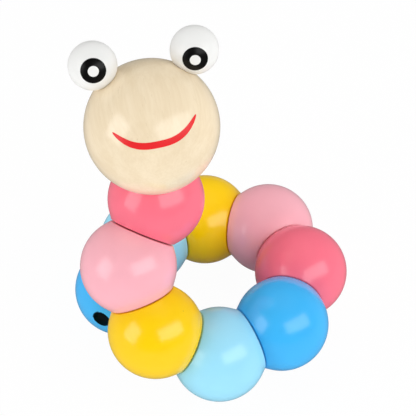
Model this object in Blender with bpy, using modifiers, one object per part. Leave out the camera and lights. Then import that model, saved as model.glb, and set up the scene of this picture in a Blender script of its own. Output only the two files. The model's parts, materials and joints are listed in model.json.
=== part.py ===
"""Wooden inchworm toy: wedge-cut balls and a round head threaded on one elastic cord.

Each body ball has two flats set at an angle, and the cord pulls the flats of neighbouring balls
together. Turning one ball on the next bends the body into another shape. The worm is built lying
coiled on the floor, with its neck and head raised over its tail. Units are metres, +Z is up, and
the origin is on the floor under the middle of the worm. Left and right are the worm's own.

A ball's own frame has its centre at the origin. Its flats look along directions in its XY plane,
the tail-side flat half a wedge from +X and the head-side flat half a wedge from -X, both turned
towards +Y, which is the narrow side of the wedge.
"""

import math
from dataclasses import dataclass

import bmesh
import bpy
from mathutils import Matrix, Vector

MM = 0.001

# Body balls
BEAD_RADIUS = 14.0 * MM
FACE_RADIUS = 9.25 * MM
WEDGE_ANGLE = math.radians(45.0)
RIM_ROUNDING = 0.5 * MM

# Clearance between touching pieces
GAP = 0.3 * MM

# Elastic cord, its bores and the knots at its ends
CORD_RADIUS = 1.25 * MM
CORD_CLEARANCE = 0.4 * MM
KNOT_OVERHANG = 0.85 * MM
HEAD_BORE_DEPTH = 15.0 * MM
TAIL_HOLE_DEPTH = 8.0 * MM
TAIL_BORE_TILT = math.radians(3.0)

# Head, whose neck flat leans back from straight below the eyes
HEAD_RADIUS = 19.0 * MM
NECK_LEAN = math.radians(22.5)

# Eyes, set on the crown of the head, each on a dowel
EYE_RADIUS = 6.8 * MM
EYE_SEAT_DEPTH = 1.2 * MM
EYE_SPREAD = math.radians(70.5)
EYE_LEAN = math.radians(2.0)
DOWEL_RADIUS = 1.5 * MM
DOWEL_DEPTH = 4.0 * MM

# Pupils: a black disc let into each eye and a white dot let into the disc, in sockets of these rim depths
PUPIL_RADIUS = 3.5 * MM
PUPIL_DEPTH = 0.9 * MM
DOT_RADIUS = 1.5 * MM
DOT_DEPTH = 0.5 * MM
# Each eye's gaze: its turn towards the worm's left, then its tilt up, from straight ahead
GAZES = {
    "right": (math.radians(-4.5), math.radians(2.5)),
    "left": (math.radians(-9.0), math.radians(-9.0)),
}
SIDES = {"right": -1.0, "left": 1.0}

# Mouth: a crescent let into the face, placed by angles about the head's centre
SMILE_RADIUS = 0.9 * MM
SMILE_TIP_RADIUS = 0.2 * MM
SMILE_HALF_WIDTH = math.radians(37.0)
SMILE_TURN = math.radians(-4.3)
SMILE_HEIGHT = math.radians(2.2)
SMILE_SLOPE = math.radians(2.1)
SMILE_BEND = math.radians(18.1)
# The bend grows with this power of the way from the smile's middle to its ends
SMILE_BEND_POWER = 3

# Pose: the turn of each ball on the one before it, in degrees, from the head to the tail.
# The turn between the neck and the coil is worked out, so that the neck passes over the tail.
HEAD_TURN = -133.0
NECK_TURNS = (-130.0, -5.0, 0.0)
COIL_TURNS = (0.0, 0.0, 10.0, -10.0)
TAIL_TURN = 150.0
RAISING_TURN_LIMITS = (0.0, -120.0)
RAISING_TURN_TRIES = 40
TAIL_CLEARANCE = 0.9 * MM
COIL_BEARING = math.radians(94.5)

# Balls counted from the head. The coil rests on its first ball, its rear ball and the tail.
FIRST_COIL_BEAD = 4
REAR_BEAD = 8
TAIL_BEAD = 10
ROOT_BEAD = FIRST_COIL_BEAD

# Facets
TURN_STEPS = 24
HEAD_TURN_STEPS = 32
SMALL_TURN_STEPS = 16
ARC_STEP = math.radians(12.0)
RIM_STEPS = 2
KNOT_STEPS = 5
SMILE_STEPS = 16
SMILE_BEVEL_RESOLUTION = 2
SHARP_ANGLE = math.radians(30.0)
WELD_DISTANCE = 0.001 * MM

# Colours as 8-bit sRGB values, and the roughness of what isn't lacquered
COLOURS = {
    "natural_wood": (244, 226, 192),
    "hot_pink": (253, 122, 142),
    "light_pink": (252, 186, 196),
    "yellow": (255, 212, 10),
    "light_blue": (165, 228, 252),
    "blue": (72, 188, 250),
    "white": (240, 240, 238),
    "black": (24, 22, 23),
    "red": (246, 50, 48),
    "elastic": (228, 224, 214),
}
LACQUER_ROUGHNESS = 0.25
ROUGHNESS = {"natural_wood": 0.5, "elastic": 0.8}
BEAD_COLOURS = ("hot_pink", "light_pink", "yellow", "light_blue", "blue")

# Sizes worked out from those above
HALF_WEDGE = WEDGE_ANGLE / 2.0
FACE_OFFSET = math.sqrt(BEAD_RADIUS**2 - FACE_RADIUS**2)
FLAT_HEIGHT = FACE_OFFSET - GAP / 2.0
HEAD_FACE_OFFSET = math.sqrt(HEAD_RADIUS**2 - FACE_RADIUS**2)
HEAD_FLAT_HEIGHT = HEAD_FACE_OFFSET - GAP / 2.0
BORE_RADIUS = CORD_RADIUS + CORD_CLEARANCE
KNOT_RADIUS = BORE_RADIUS + KNOT_OVERHANG
KNOT_BORE_RADIUS = KNOT_RADIUS + GAP
EYE_DISTANCE = HEAD_RADIUS + EYE_RADIUS - EYE_SEAT_DEPTH
PAST_BEAD = 2.0 * BEAD_RADIUS

X_AXIS = Vector((1.0, 0.0, 0.0))
Z_AXIS = Vector((0.0, 0.0, 1.0))


def in_plane(angle):
    """Unit vector in a ball's XY plane, at an angle from +X."""
    return Vector((math.cos(angle), math.sin(angle), 0.0))


def frame_along(origin, direction):
    """Frame at a point, with its Z axis along a direction."""
    return Matrix.Translation(origin) @ Z_AXIS.rotation_difference(direction).to_matrix().to_4x4()


TAIL_NORMAL = in_plane(HALF_WEDGE)
HEAD_NORMAL = in_plane(math.pi - HALF_WEDGE)
NECK_NORMAL = in_plane(NECK_LEAN)
# The straight bore of a wedge ball joins the centres of its flats, so it runs along X
BORE_LINE = frame_along(Vector((0.0, FACE_OFFSET * math.sin(HALF_WEDGE), 0.0)), X_AXIS)
# Directions of the head's own frame
CROWN = Vector((-1.0, 0.0, 0.0))
AHEAD = Vector((0.0, -1.0, 0.0))
LEFTWARD = Z_AXIS


# Pose of the chain


def chain_frames(raising_turn):
    """Frames of the head and the balls, head first, seen from the head's own frame."""
    turns = (HEAD_TURN, *NECK_TURNS, raising_turn, *COIL_TURNS, TAIL_TURN)
    frames = [Matrix.Identity(4)]
    for index, turn in enumerate(turns):
        lean = HALF_WEDGE if index else NECK_LEAN
        offset = FACE_OFFSET if index else HEAD_FACE_OFFSET
        normal = in_plane(lean)
        step = Matrix.Translation(normal * (offset + FACE_OFFSET))
        twist = Matrix.Rotation(math.radians(turn), 4, normal)
        bend = Matrix.Rotation(lean + HALF_WEDGE, 4, "Z")
        frames.append(frames[-1] @ step @ twist @ bend)
    return frames


def tail_room(frames):
    """Least room between the tail ball and the balls of the neck, which pass over it."""
    tail = frames[TAIL_BEAD].translation
    neck = frames[1:FIRST_COIL_BEAD]
    nearest = min((frame.translation - tail).length for frame in neck)
    return nearest - 2.0 * BEAD_RADIUS


def raised_frames():
    """The chain, with its neck raised just enough to clear the tail."""
    low, high = RAISING_TURN_LIMITS
    for _ in range(RAISING_TURN_TRIES):
        middle = (low + high) / 2.0
        if tail_room(chain_frames(middle)) < TAIL_CLEARANCE:
            low = middle
        else:
            high = middle
    return chain_frames(high)


def resting_frames():
    """World frames of the head and the balls, resting on the floor and centred on the origin."""
    frames = raised_frames()
    front = frames[FIRST_COIL_BEAD].translation
    rear = frames[REAR_BEAD].translation
    tail = frames[TAIL_BEAD].translation
    up = (rear - front).cross(tail - front).normalized()
    if up.dot(frames[0].translation - front) < 0.0:
        up.negate()
    level = up.rotation_difference(Z_AXIS).to_matrix().to_4x4()
    run = level @ (rear - front)
    swing = Matrix.Rotation(COIL_BEARING - math.atan2(run.y, run.x), 4, "Z")
    frames = [swing @ level @ frame for frame in frames]

    balls = [(frames[0].translation, HEAD_RADIUS)]
    balls += [(frames[0] @ eye_centre(side), EYE_RADIUS) for side in SIDES]
    balls += [(frame.translation, BEAD_RADIUS) for frame in frames[1:]]
    low = [min(centre[axis] - radius for centre, radius in balls) for axis in range(3)]
    high = [max(centre[axis] + radius for centre, radius in balls) for axis in range(3)]
    middle = Vector(((low[0] + high[0]) / 2.0, (low[1] + high[1]) / 2.0, low[2]))
    return [Matrix.Translation(-middle) @ frame for frame in frames]


def eye_centre(side):
    """Centre of one eye in the head's frame."""
    upright = CROWN * math.cos(EYE_LEAN) + AHEAD * math.sin(EYE_LEAN)
    half = EYE_SPREAD / 2.0
    return (upright * math.cos(half) + LEFTWARD * SIDES[side] * math.sin(half)) * EYE_DISTANCE


def looking_direction(turn, tilt):
    """Direction from the head: straight ahead, tilted up, then turned towards the worm's left."""
    level = AHEAD * math.cos(tilt) + CROWN * math.sin(tilt)
    return level * math.cos(turn) + LEFTWARD * math.sin(turn)


def gaze(side):
    """Direction in which one eye looks, in the head's frame."""
    return looking_direction(*GAZES[side])


# Scene, materials and bodies


@dataclass
class Body:
    """One rigid body of the chain: its own frame, and the empty on its joint's axis."""

    frame: Matrix
    carrier: bpy.types.Object
    carrier_frame: Matrix


def clear_scene():
    """Remove every object of the scene."""
    for thing in list(bpy.data.objects):
        bpy.data.objects.remove(thing, do_unlink=True)


def new_collection(name):
    """Collection of that name, linked to the scene."""
    collection = bpy.data.collections.new(name)
    bpy.context.scene.collection.children.link(collection)
    return collection


def linear(value):
    """Linear value of one 8-bit sRGB channel."""
    share = value / 255.0
    return share / 12.92 if share <= 0.04045 else ((share + 0.055) / 1.055) ** 2.4


def new_material(name):
    """Principled material of one colour."""
    material = bpy.data.materials.new(name)
    material.use_nodes = True
    colour = (*(linear(value) for value in COLOURS[name]), 1.0)
    shader = material.node_tree.nodes["Principled BSDF"]
    shader.inputs["Base Color"].default_value = colour
    shader.inputs["Roughness"].default_value = ROUGHNESS.get(name, LACQUER_ROUGHNESS)
    shader.inputs["Metallic"].default_value = 0.0
    material.diffuse_color = colour
    return material


def new_body(collection, name, frame, axis_frame, parent=None):
    """Body with its empty on a joint's axis, carried by the body that it turns on."""
    carrier = bpy.data.objects.new(f"turn_{name}", None)
    collection.objects.link(carrier)
    carrier.empty_display_size = FACE_RADIUS
    if parent:
        carrier.parent = parent.carrier
        carrier.matrix_local = parent.carrier_frame.inverted() @ axis_frame
    else:
        carrier.matrix_local = axis_frame
    return Body(frame, carrier, axis_frame)


def twist_axis(frames, index):
    """Frame on the axis between the head or a ball and the next ball, with Z towards the tail."""
    normal = TAIL_NORMAL if index else NECK_NORMAL
    offset = FACE_OFFSET if index else HEAD_FACE_OFFSET
    return frames[index] @ frame_along(normal * offset, normal)


def new_bodies(collection):
    """Bodies of the head and the balls, head first, each carried by its neighbour nearer the root."""
    frames = resting_frames()
    bodies = [None] * len(frames)
    root = frames[ROOT_BEAD]
    bodies[ROOT_BEAD] = new_body(collection, body_name(ROOT_BEAD), root, root)
    for index in reversed(range(ROOT_BEAD)):
        axis = twist_axis(frames, index)
        parent = bodies[index + 1]
        bodies[index] = new_body(collection, body_name(index), frames[index], axis, parent)
    for index in range(ROOT_BEAD + 1, len(frames)):
        axis = twist_axis(frames, index - 1)
        parent = bodies[index - 1]
        bodies[index] = new_body(collection, body_name(index), frames[index], axis, parent)
    return bodies


def body_name(index):
    """Name of the head or of a ball by its place in the chain, the head being 0."""
    if index == 0:
        return "head"
    return f"bead_{index:02d}_{bead_colour(index)}"


def bead_colour(index):
    """Colour of a ball by its place in the chain: the colours repeat."""
    return BEAD_COLOURS[(index - 1) % len(BEAD_COLOURS)]


def put(collection, body, name, mesh, material=None, place=None):
    """Object with a mesh, placed in its body's frame and carried by the body's empty."""
    thing = bpy.data.objects.new(name, mesh)
    collection.objects.link(thing)
    thing.parent = body.carrier
    world = body.frame @ place if place else body.frame
    thing.matrix_local = body.carrier_frame.inverted() @ world
    if material:
        if not mesh.materials:
            mesh.materials.append(None)
        thing.material_slots[0].link = "OBJECT"
        thing.material_slots[0].material = material
    return thing


def put_cutter(collection, body, name, mesh, place=None):
    """Object that only cuts others: drawn as wire and left out of renders."""
    cutter = put(collection, body, name, mesh, place=place)
    cutter.display_type = "WIRE"
    cutter.hide_render = True
    return cutter


def cut(thing, cutter, operation="DIFFERENCE"):
    """Boolean modifier that cuts an object with a cutter."""
    modifier = thing.modifiers.new(cutter.name, "BOOLEAN")
    modifier.operation = operation
    modifier.object = cutter


# Shapes


def arc(radius, start, end, steps, reach=0.0, height=0.0):
    """Points of an arc about (reach, height), from one angle to another."""
    angles = [start + (end - start) * index / steps for index in range(steps + 1)]
    return [(reach + radius * math.cos(a), height + radius * math.sin(a)) for a in angles]


def ball_arc(radius, start):
    """Arc of a ball's outline, from an angle above its middle down to its lower pole."""
    steps = math.ceil((start + math.pi / 2.0) / ARC_STEP)
    return arc(radius, start, -math.pi / 2.0, steps)[:-1] + [(0.0, -radius)]


def shaded_mesh(shape, name):
    """Mesh of a shape, with outward faces, shaded smooth between its sharp edges."""
    bmesh.ops.remove_doubles(shape, verts=shape.verts, dist=WELD_DISTANCE)
    bmesh.ops.recalc_face_normals(shape, faces=shape.faces)
    mesh = bpy.data.meshes.new(name)
    shape.to_mesh(mesh)
    shape.free()
    mesh.shade_smooth()
    mesh.set_sharp_from_angle(angle=SHARP_ANGLE)
    return mesh


def evaluated_mesh(thing):
    """Mesh of an object as its modifiers or its bevel leave it. The object is removed."""
    name = thing.name
    bpy.context.view_layer.update()
    graph = bpy.context.evaluated_depsgraph_get()
    mesh = bpy.data.meshes.new_from_object(thing.evaluated_get(graph))
    bpy.data.objects.remove(thing, do_unlink=True)
    shape = bmesh.new()
    shape.from_mesh(mesh)
    bpy.data.meshes.remove(mesh)
    return shaded_mesh(shape, name)


def turned(cutters, name, profile, steps):
    """Mesh turned about Z from (radius, height) points that run from its top down to its foot."""
    outline = bmesh.new()
    points = [outline.verts.new((reach, 0.0, height)) for reach, height in profile]
    for pair in zip(points, points[1:]):
        outline.edges.new(pair)
    mesh = bpy.data.meshes.new(name)
    outline.to_mesh(mesh)
    outline.free()
    thing = bpy.data.objects.new(name, mesh)
    cutters.objects.link(thing)
    screw = thing.modifiers.new("turn", "SCREW")
    screw.steps = steps
    screw.render_steps = steps
    return evaluated_mesh(thing)


def cylinder(name, radius, half_length):
    """Mesh of a slim cylinder along Z, with its middle at the origin."""
    shape = bmesh.new()
    bmesh.ops.create_cone(
        shape,
        cap_ends=True,
        segments=SMALL_TURN_STEPS,
        radius1=radius,
        radius2=radius,
        depth=2.0 * half_length,
    )
    return shaded_mesh(shape, name)


def flatted_ball_profile(radius, flat_height):
    """Outline of a ball with a flat on top: from the flat's rounded rim down to the far pole."""
    height = flat_height - RIM_ROUNDING
    reach = math.sqrt((radius - RIM_ROUNDING) ** 2 - height**2)
    tangent = math.atan2(height, reach)
    rim = arc(RIM_ROUNDING, math.pi / 2.0, tangent, RIM_STEPS, reach, height)
    return rim + ball_arc(radius, tangent)[1:]


def knotted_cord_profile(knot_height, foot):
    """Outline of a stretch of cord with a knot at its top."""
    shoulder = -math.acos(CORD_RADIUS / KNOT_RADIUS)
    knot = arc(KNOT_RADIUS, math.pi / 2.0, shoulder, KNOT_STEPS, height=knot_height)
    return [(0.0, knot_height + KNOT_RADIUS)] + knot[1:] + [(CORD_RADIUS, foot), (0.0, foot)]


# Body balls and the cord through them


def wedge_meshes(cutters, body):
    """Meshes of a bored wedge ball, and of the cord through it, cut level with its flats."""
    profile = [(0.0, FLAT_HEIGHT)] + flatted_ball_profile(BEAD_RADIUS, FLAT_HEIGHT)
    half = turned(cutters, "wedge_half", profile, TURN_STEPS)
    half.transform(frame_along(Vector(), TAIL_NORMAL))
    ball = put_cutter(cutters, body, "wedge_ball", half)
    mirror = ball.modifiers.new("other_half", "MIRROR")
    mirror.use_bisect_axis[0] = True
    mirror.merge_threshold = WELD_DISTANCE

    cord_mesh = cylinder("wedge_cord", CORD_RADIUS, PAST_BEAD)
    cord = put_cutter(cutters, body, "wedge_cord", cord_mesh, BORE_LINE)
    cut(cord, ball, "INTERSECT")
    cord_mesh = evaluated_mesh(cord)

    bore_mesh = cylinder("wedge_bore", BORE_RADIUS, PAST_BEAD)
    bore = put_cutter(cutters, body, "wedge_bore", bore_mesh, BORE_LINE)
    cut(ball, bore)
    ball_mesh = evaluated_mesh(ball)
    bpy.data.objects.remove(bore, do_unlink=True)
    return ball_mesh, cord_mesh


def add_wedge_beads(parts, cutters, bodies, materials):
    """The wedge balls, which share one mesh, and their stretches of cord."""
    ball_mesh, cord_mesh = wedge_meshes(cutters, bodies[ROOT_BEAD])
    for index in range(1, TAIL_BEAD):
        body = bodies[index]
        put(parts, body, body_name(index), ball_mesh, materials[bead_colour(index)])
        put(parts, body, f"cord_{index:02d}", cord_mesh, materials["elastic"], BORE_LINE)


def add_tail(parts, cutters, body, materials):
    """Tail ball with one flat and a round end, the hole there, and the cord's knot inside it."""
    flat_frame = frame_along(Vector(), HEAD_NORMAL)
    profile = [(0.0, FLAT_HEIGHT)] + flatted_ball_profile(BEAD_RADIUS, FLAT_HEIGHT)
    mesh = turned(cutters, "tail_ball", profile, TURN_STEPS)
    ball = put(parts, body, body_name(TAIL_BEAD), mesh, materials[bead_colour(TAIL_BEAD)], flat_frame)
    ball_form = put_cutter(cutters, body, "tail_form", mesh, flat_frame)

    start = HEAD_NORMAL * FACE_OFFSET
    run = in_plane(TAIL_BORE_TILT - HALF_WEDGE)
    line = frame_along(start, run)
    inward = -start.dot(run)
    mouth = inward + math.sqrt(inward**2 + BEAD_RADIUS**2 - FACE_OFFSET**2)
    ledge = mouth - TAIL_HOLE_DEPTH
    bore_profile = [
        (0.0, mouth + BEAD_RADIUS),
        (KNOT_BORE_RADIUS, mouth + BEAD_RADIUS),
        (KNOT_BORE_RADIUS, ledge),
        (BORE_RADIUS, ledge),
        (BORE_RADIUS, -BEAD_RADIUS),
        (0.0, -BEAD_RADIUS),
    ]
    bore_mesh = turned(cutters, "tail_bore", bore_profile, SMALL_TURN_STEPS)
    cut(ball, put_cutter(cutters, body, "tail_bore", bore_mesh, line))

    knot_height = ledge + math.sqrt((KNOT_RADIUS + GAP) ** 2 - BORE_RADIUS**2)
    cord_profile = knotted_cord_profile(knot_height, -BEAD_RADIUS)
    cord_mesh = turned(cutters, "tail_cord", cord_profile, SMALL_TURN_STEPS)
    cord = put(parts, body, f"cord_{TAIL_BEAD:02d}", cord_mesh, materials["elastic"], line)
    cut(cord, ball_form, "INTERSECT")


# Head and face


def add_head(parts, cutters, body, materials):
    """Head ball with its neck flat and blind bore, and the knotted end of the cord in it."""
    bore_end = HEAD_FLAT_HEIGHT - HEAD_BORE_DEPTH
    profile = [
        (0.0, bore_end),
        (KNOT_BORE_RADIUS, bore_end),
        (KNOT_BORE_RADIUS, HEAD_FLAT_HEIGHT),
        *flatted_ball_profile(HEAD_RADIUS, HEAD_FLAT_HEIGHT),
    ]
    neck = frame_along(Vector(), NECK_NORMAL)
    mesh = turned(cutters, "head_ball", profile, HEAD_TURN_STEPS)
    ball = put(parts, body, "head_ball", mesh, materials["natural_wood"], neck)
    ball_form = put_cutter(cutters, body, "head_form", mesh, neck)

    knot_height = HEAD_BORE_DEPTH - GAP - KNOT_RADIUS
    cord_mesh = turned(cutters, "head_cord", knotted_cord_profile(knot_height, 0.0), SMALL_TURN_STEPS)
    inwards = frame_along(NECK_NORMAL * HEAD_FLAT_HEIGHT, -NECK_NORMAL)
    put(parts, body, "cord_head", cord_mesh, materials["elastic"], inwards)
    return ball, ball_form


def add_head_room(cutters, body):
    """Cutter that keeps the eyes clear of the head."""
    shape = bmesh.new()
    bmesh.ops.create_uvsphere(
        shape,
        u_segments=HEAD_TURN_STEPS,
        v_segments=HEAD_TURN_STEPS // 2,
        radius=HEAD_RADIUS + GAP,
    )
    return put_cutter(cutters, body, "head_room", shaded_mesh(shape, "head_room"))


def eye_dome(inner, outer):
    """Outline of an eye's surface between two distances from its axis, the inner one first."""
    start = math.acos(inner / EYE_RADIUS)
    end = math.acos(outer / EYE_RADIUS)
    dome = arc(EYE_RADIUS, start, end, RIM_STEPS)
    return dome if inner else [(0.0, EYE_RADIUS)] + dome[1:]


def on_eye(reach):
    """Height of an eye's surface above its centre, at a distance from its axis."""
    return math.sqrt(EYE_RADIUS**2 - reach**2)


def add_eye(parts, cutters, body, materials, side, head, head_room):
    """One eye: its ball on a dowel in the head, with its pupil and the pupil's dot."""
    centre = eye_centre(side)
    outward = centre.normalized()
    looking = frame_along(centre, gaze(side))
    socket = PUPIL_RADIUS + GAP
    socket_floor = on_eye(socket) - PUPIL_DEPTH
    dot_socket = DOT_RADIUS + GAP
    dot_socket_floor = on_eye(dot_socket) - DOT_DEPTH

    profile = [(0.0, socket_floor), (socket, socket_floor)]
    profile += ball_arc(EYE_RADIUS, math.acos(socket / EYE_RADIUS))
    mesh = turned(cutters, f"eye_{side}", profile, TURN_STEPS)
    eye = put(parts, body, f"eye_{side}", mesh, materials["white"], looking)
    cut(eye, head_room)

    floor = socket_floor + GAP
    profile = [(0.0, dot_socket_floor), (dot_socket, dot_socket_floor)]
    profile += eye_dome(dot_socket, PUPIL_RADIUS) + [(PUPIL_RADIUS, floor), (0.0, floor)]
    mesh = turned(cutters, f"pupil_{side}", profile, TURN_STEPS)
    put(parts, body, f"pupil_{side}", mesh, materials["black"], looking)

    floor = dot_socket_floor + GAP
    profile = eye_dome(0.0, DOT_RADIUS) + [(DOT_RADIUS, floor), (0.0, floor)]
    mesh = turned(cutters, f"pupil_dot_{side}", profile, SMALL_TURN_STEPS)
    put(parts, body, f"pupil_dot_{side}", mesh, materials["white"], looking)

    seat = frame_along(outward * HEAD_RADIUS, outward)
    mesh = cylinder(f"eye_dowel_{side}", DOWEL_RADIUS, DOWEL_DEPTH)
    put(parts, body, f"eye_dowel_{side}", mesh, materials["natural_wood"], seat)
    mesh = cylinder(f"dowel_hole_{side}", DOWEL_RADIUS + GAP, DOWEL_DEPTH + GAP)
    hole = put_cutter(cutters, body, f"dowel_hole_{side}", mesh, seat)
    cut(eye, hole)
    cut(head, hole)


def smile_mesh(cutters, name, added_radius):
    """Tube along the smile on the head's surface, thickest in the middle."""
    curve = bpy.data.curves.new(name, "CURVE")
    curve.dimensions = "3D"
    curve.bevel_depth = MM
    curve.bevel_resolution = SMILE_BEVEL_RESOLUTION
    curve.use_fill_caps = True
    spline = curve.splines.new("POLY")
    spline.points.add(SMILE_STEPS)
    for index, point in enumerate(spline.points):
        across = 2.0 * index / SMILE_STEPS - 1.0
        turn = SMILE_TURN + SMILE_HALF_WIDTH * across
        tilt = SMILE_HEIGHT + SMILE_SLOPE * across + SMILE_BEND * abs(across) ** SMILE_BEND_POWER
        point.co = (*looking_direction(turn, tilt) * HEAD_RADIUS, 1.0)
        taper = (SMILE_RADIUS - SMILE_TIP_RADIUS) * (1.0 - across**2)
        point.radius = (SMILE_TIP_RADIUS + taper + added_radius) / curve.bevel_depth
    tube = bpy.data.objects.new(name, curve)
    cutters.objects.link(tube)
    return evaluated_mesh(tube)


def add_mouth(parts, cutters, body, materials, head, head_form):
    """Red crescent let into the face, level with the head's surface."""
    recess = put_cutter(cutters, body, "smile_recess", smile_mesh(cutters, "smile_recess", GAP))
    cut(head, recess)
    mouth = put(parts, body, "mouth", smile_mesh(cutters, "mouth", 0.0), materials["red"])
    cut(mouth, head_form, "INTERSECT")


def build():
    """Build the whole worm."""
    clear_scene()
    parts = new_collection("inchworm")
    cutters = new_collection("cutters")
    materials = {name: new_material(name) for name in COLOURS}
    bodies = new_bodies(parts)

    add_wedge_beads(parts, cutters, bodies, materials)
    add_tail(parts, cutters, bodies[TAIL_BEAD], materials)
    head_body = bodies[0]
    head, head_form = add_head(parts, cutters, head_body, materials)
    head_room = add_head_room(cutters, head_body)
    for side in SIDES:
        add_eye(parts, cutters, head_body, materials, side, head, head_room)
    add_mouth(parts, cutters, head_body, materials, head, head_form)


build()
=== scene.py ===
"""Dressed scene of a wooden inchworm: lacquered wedge-cut balls, a bare wood head and ball eyes.

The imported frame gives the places. Each twist joint lies at the middle of the touching flats of two
balls, so a ball's two joints give its centre, its flats and its bore. The dowels of the frame give
the head's bearing, its pupils give the eyes' gaze and its tail cord gives the tail's hole. Lengths are
metres, +Z is up, and left and right are the worm's own.
"""

from __future__ import annotations

import json
import logging
import math
from collections.abc import Callable
from dataclasses import dataclass, field
from enum import Enum
from functools import cached_property

import bmesh
import bpy
import numpy as np
from mathutils import Matrix, Vector

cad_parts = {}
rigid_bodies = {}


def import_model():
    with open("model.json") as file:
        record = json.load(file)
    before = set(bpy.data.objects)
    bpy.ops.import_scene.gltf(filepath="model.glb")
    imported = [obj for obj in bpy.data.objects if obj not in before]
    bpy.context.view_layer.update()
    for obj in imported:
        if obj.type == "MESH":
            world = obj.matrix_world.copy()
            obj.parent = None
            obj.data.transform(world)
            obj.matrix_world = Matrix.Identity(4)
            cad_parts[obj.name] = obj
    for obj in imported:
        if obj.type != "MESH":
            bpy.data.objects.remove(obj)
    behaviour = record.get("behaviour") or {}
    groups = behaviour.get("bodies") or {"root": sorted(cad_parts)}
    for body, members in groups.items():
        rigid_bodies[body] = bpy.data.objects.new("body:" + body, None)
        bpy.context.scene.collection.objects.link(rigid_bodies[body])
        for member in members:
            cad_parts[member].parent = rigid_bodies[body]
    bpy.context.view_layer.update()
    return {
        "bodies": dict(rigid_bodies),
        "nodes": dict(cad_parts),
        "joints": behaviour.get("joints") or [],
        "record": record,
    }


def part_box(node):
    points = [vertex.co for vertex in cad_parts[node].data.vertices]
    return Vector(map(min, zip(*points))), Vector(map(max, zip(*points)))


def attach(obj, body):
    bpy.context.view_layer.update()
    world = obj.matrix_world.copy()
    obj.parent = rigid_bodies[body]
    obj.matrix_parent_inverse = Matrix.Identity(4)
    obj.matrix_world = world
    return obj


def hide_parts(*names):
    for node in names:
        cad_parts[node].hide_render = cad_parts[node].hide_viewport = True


LOG = logging.getLogger("inchworm")

MM = 0.001
WELD = 1.0e-6
SHARP = math.radians(30.0)
RIM_SEGMENTS = 6
X_AXIS = Vector((1.0, 0.0, 0.0))
Z_AXIS = Vector((0.0, 0.0, 1.0))
PLACE = "turning_place"
# Vertex mark for the painted shade inside the tail's hole.
BORE_SHADE = "painted_bore_shade"

Outline = list[tuple[float, float]]
Srgb = tuple[int, int, int]
AxisScale = tuple[float, float, float]
Span = tuple[float, float]


class Slot(Enum):
    """Material slots of the record."""

    NATURAL_WOOD = "natural_wood"
    HOT_PINK = "hot_pink"
    LIGHT_PINK = "light_pink"
    YELLOW = "yellow"
    LIGHT_BLUE = "light_blue"
    BLUE = "blue"
    WHITE = "white"
    BLACK = "black"
    RED = "red"
    ELASTIC = "elastic"


class Side(Enum):
    """The worm's own sides."""

    RIGHT = "right"
    LEFT = "left"


# Modelling by hand


def deselect_all() -> None:
    """Leave edit mode and deselect every object."""
    if bpy.context.mode != "OBJECT":
        bpy.ops.object.mode_set(mode="OBJECT")
    bpy.ops.object.select_all(action="DESELECT")


def select_only(thing: bpy.types.Object) -> None:
    """Select one object alone and make it the active one.

    Args:
        thing: the object.
    """
    deselect_all()
    thing.select_set(True)
    bpy.context.view_layer.objects.active = thing


def named_active(name: str) -> bpy.types.Object:
    """Name the object that an operator has just added, and its mesh.

    Args:
        name: the object's new name.

    Returns:
        The named object.
    """
    thing = bpy.context.object
    thing.name = name
    thing.data.name = name
    return thing


def apply_place(thing: bpy.types.Object) -> None:
    """Move an object's place and turn into its mesh."""
    select_only(thing)
    bpy.ops.object.transform_apply(location=True, rotation=True, scale=True)


def apply_modifier(thing: bpy.types.Object, modifier: bpy.types.Modifier) -> None:
    """Make a modifier's result the object's mesh."""
    select_only(thing)
    bpy.ops.object.modifier_apply(modifier=modifier.name)


def enter_edit(thing: bpy.types.Object) -> None:
    """Open an object in edit mode with all of it selected.

    Args:
        thing: the object.
    """
    select_only(thing)
    bpy.ops.object.mode_set(mode="EDIT")
    bpy.ops.mesh.select_mode(type="VERT")
    bpy.ops.mesh.select_all(action="SELECT")


def select_vertices(thing: bpy.types.Object, wanted: Callable[[Vector], bool]) -> list[Vector]:
    """Select the vertices of an object in edit mode that lie where they are wanted.

    Args:
        thing: the object in edit mode.
        wanted: says whether a place is wanted.

    Returns:
        The places of the selected vertices.
    """
    shape = bmesh.from_edit_mesh(thing.data)
    for vertex in shape.verts:
        vertex.select_set(wanted(vertex.co))
    shape.select_flush_mode()
    bmesh.update_edit_mesh(thing.data)
    return [vertex.co.copy() for vertex in shape.verts if vertex.select]


def bisect(place: Vector, normal: Vector, fill: bool) -> None:
    """Cut all of the mesh in edit mode by a plane, and remove what lies past it.

    Args:
        place: a point of the plane.
        normal: the plane's normal, pointing at what is removed.
        fill: whether the cut gets a face.
    """
    bpy.ops.mesh.select_all(action="SELECT")
    bpy.ops.mesh.bisect(plane_co=place, plane_no=normal, use_fill=fill, clear_outer=True, threshold=WELD)


def shade(thing: bpy.types.Object) -> None:
    """Shade an object smooth, apart from its sharp edges."""
    select_only(thing)
    bpy.ops.object.shade_smooth_by_angle(angle=SHARP)


def close_up(thing: bpy.types.Object) -> None:
    """Merge the doubles of an object in edit mode, turn its faces outwards and shade it in object mode.

    Args:
        thing: the object in edit mode.
    """
    bpy.ops.mesh.select_all(action="SELECT")
    bpy.ops.mesh.remove_doubles(threshold=WELD)
    bpy.ops.mesh.normals_make_consistent(inside=False)
    shade(thing)


def cut_with(thing: bpy.types.Object, cutter: bpy.types.Object) -> None:
    """Cut an object with another, which is then removed.

    Args:
        thing: the object that is cut.
        cutter: the object that cuts it.
    """
    cut = thing.modifiers.new("cut", "BOOLEAN")
    cut.operation = "DIFFERENCE"
    cut.object = cutter
    apply_modifier(thing, cut)
    bpy.data.objects.remove(cutter, do_unlink=True)


def thicken(thing: bpy.types.Object, thickness: float) -> None:
    """Give a surface a thickness on its inner side.

    Args:
        thing: the object with the surface.
        thickness: the thickness.
    """
    solid = thing.modifiers.new("paint", "SOLIDIFY")
    solid.thickness = thickness
    solid.offset = -1.0
    apply_modifier(thing, solid)


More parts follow.
